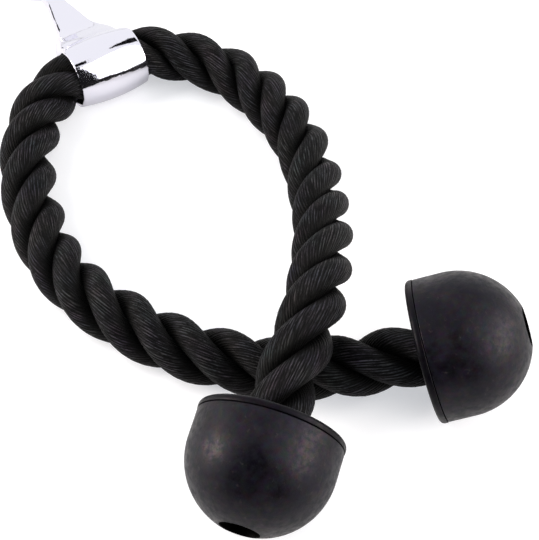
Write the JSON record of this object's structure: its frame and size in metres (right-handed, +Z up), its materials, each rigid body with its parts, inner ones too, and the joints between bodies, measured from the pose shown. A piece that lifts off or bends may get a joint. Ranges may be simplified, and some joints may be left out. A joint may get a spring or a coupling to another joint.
{
  "type": "triceps rope attachment",
  "caption": "Cable-machine triceps rope: a black laid rope doubled through a chrome eye collar, with a black ball on each end to stop the hands.",
  "frame": {"origin": "bottom centre of the box round the collar and the balls, on the floor", "axes": "+Z up from the floor, the collar's bore along X, its eye towards +Y and the balls towards -Y"},
  "size_m": [0.1661, 0.3781, 0.0655],
  "materials": {
    "collar": "polished",
    "rope": "laid nylon",
    "ball": "satin",
    "fitting": "zinc plated",
    "whipping": "cloth tape"
  },
  "bodies": {
    "rope": {"rope_middle": "rope", "rope_left_leg": "rope", "rope_left_end": "rope", "rope_right_root": "rope", "rope_right_flex": "rope", "left_washer": "fitting", "left_ferrule": "fitting", "left_whipping": "whipping"},
    "collar": {"collar": "collar"},
    "left_ball": {"left_lid": "ball", "left_dome": "ball"},
    "right_leg": {"rope_right_leg": "rope", "rope_right_end": "rope", "right_washer": "fitting", "right_ferrule": "fitting", "right_whipping": "whipping"},
    "right_ball": {"right_lid": "ball", "right_dome": "ball"}
  },
  "joints": [
    {"name": "collar_turn", "type": "hinge", "parent": "rope", "child": "collar", "pos_m": [0.006, 0.098, 0.017], "axis": [1, 0, 0], "continuous": true},
    {"name": "left_ball_spin", "type": "hinge", "parent": "rope", "child": "left_ball", "pos_m": [0.0366, -0.1463, 0.02993], "axis": [0.861, -0.4162, 0.2924], "continuous": true},
    {"name": "right_leg_lift", "type": "hinge", "parent": "rope", "child": "right_leg", "pos_m": [0.06748, 0.02736, 0.01359], "axis": [-0.9992, -0.041, 0], "range_deg": [0, 45], "deforming": ["rope_right_flex"]},
    {"name": "right_ball_spin", "type": "hinge", "parent": "right_leg", "child": "right_ball", "pos_m": [-0.0389, -0.1482, 0.03534], "axis": [-0.7211, -0.6357, -0.2756], "continuous": true}
  ]
}
